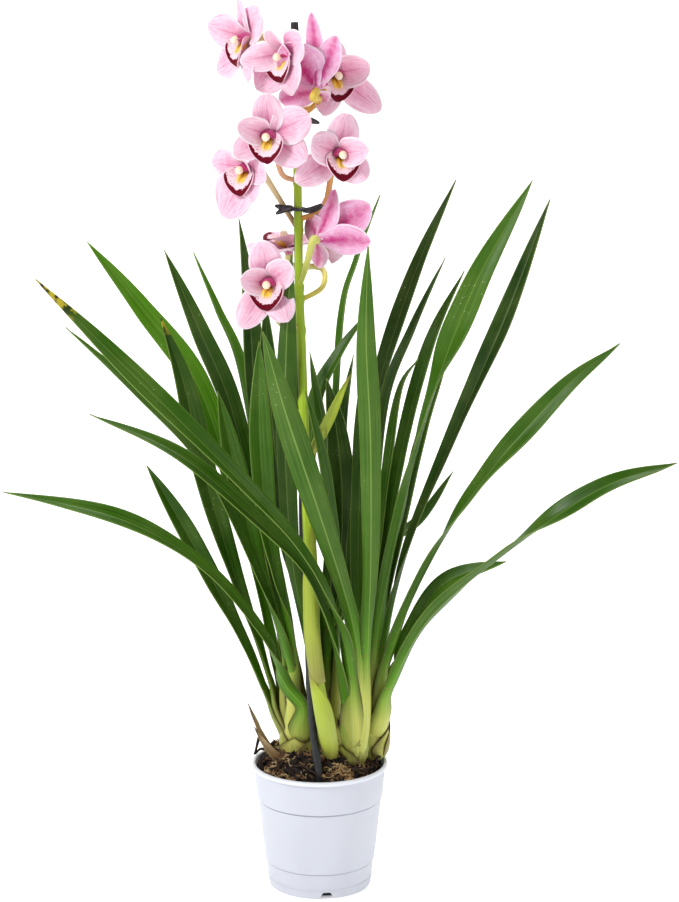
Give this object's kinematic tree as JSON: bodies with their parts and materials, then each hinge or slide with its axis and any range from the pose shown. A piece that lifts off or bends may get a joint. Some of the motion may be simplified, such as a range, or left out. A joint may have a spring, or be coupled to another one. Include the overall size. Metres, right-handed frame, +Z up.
{
  "type": "potted orchid plant",
  "caption": "Flowering cymbidium orchid with strap leaves and one staked flower stem, growing from pseudobulbs in a round tapered nursery pot.",
  "frame": {"origin": "centre of the pot's flat underside, where it stands", "axes": "+Z up along the pot's axis, -Y to the front, +X to the right as seen from the front"},
  "size_m": [0.5634, 0.2852, 0.7708],
  "materials": {
    "pot_plastic": "white polypropylene with a faint lavender cast, satin, moulded ring lines",
    "bark_mix": "damp composted bark chips with tan fibres, rough and matte",
    "leaf_blade": "living strap leaf, waxy satin green with a paler keel and parallel veins",
    "leaf_sheath": "pale yellow-green leaf sheath, satin, ribbed lengthways",
    "flower_stem": "fleshy yellow-green flower stem, satin",
    "green_bract": "fleshy yellow-green bract, satin, veined lengthways",
    "petal": "waxy pale pink tepals with rose veins, crimson band and yellow crest on the lip",
    "stake_plastic": "black support stake, satin",
    "clip_plastic": "dark grey sprung clip, satin",
    "dry_sheath": "withered papery leaf sheath, dull and fibrous"
  },
  "bodies": {
    "root": {"pot": "pot_plastic", "bark_mix": "bark_mix", "support_stake": "stake_plastic", "left_pseudobulb": "leaf_sheath", "back_pseudobulb": "leaf_sheath", "front_pseudobulb": "leaf_sheath", "right_pseudobulb": "leaf_sheath", "young_shoot": "leaf_sheath", "left_leaf_1": "leaf_blade", "left_leaf_2": "leaf_blade", "left_leaf_3": "leaf_blade", "left_leaf_4": "leaf_blade", "left_leaf_5": "leaf_blade", "left_leaf_6": "leaf_blade", "left_leaf_7": "leaf_blade", "left_leaf_8": "leaf_blade", "left_leaf_9": "leaf_blade", "back_leaf_1": "leaf_blade", "back_leaf_2": "leaf_blade", "back_leaf_3": "leaf_blade", "back_leaf_4": "leaf_blade", "back_leaf_5": "leaf_blade", "back_leaf_6": "leaf_blade", "back_leaf_7": "leaf_blade", "back_leaf_8": "leaf_blade", "back_leaf_9": "leaf_blade", "front_leaf_1": "leaf_blade", "front_leaf_2": "leaf_blade", "front_leaf_3": "leaf_blade", "front_leaf_4": "leaf_blade", "front_leaf_5": "leaf_blade", "front_leaf_6": "leaf_blade", "front_leaf_7": "leaf_blade", "right_leaf_1": "leaf_blade", "right_leaf_2": "leaf_blade", "right_leaf_3": "leaf_blade", "right_leaf_4": "leaf_blade", "right_leaf_5": "leaf_blade", "right_leaf_6": "leaf_blade", "right_leaf_7": "leaf_blade", "right_leaf_8": "leaf_blade", "right_leaf_9": "leaf_blade", "flower_stem": "flower_stem", "stem_bract_1": "green_bract", "stem_bract_2": "green_bract", "flower_1": "petal", "flower_2": "petal", "flower_3": "petal", "flower_4": "petal", "flower_5": "petal", "flower_6": "petal", "flower_7": "petal", "flower_8": "petal", "flower_9": "petal", "flower_10": "petal", "support_clip_1": "clip_plastic", "support_clip_2": "clip_plastic", "sprung_bract": "green_bract", "dry_sheath_1": "dry_sheath", "dry_sheath_2": "dry_sheath"}
  },
  "joints": []
}
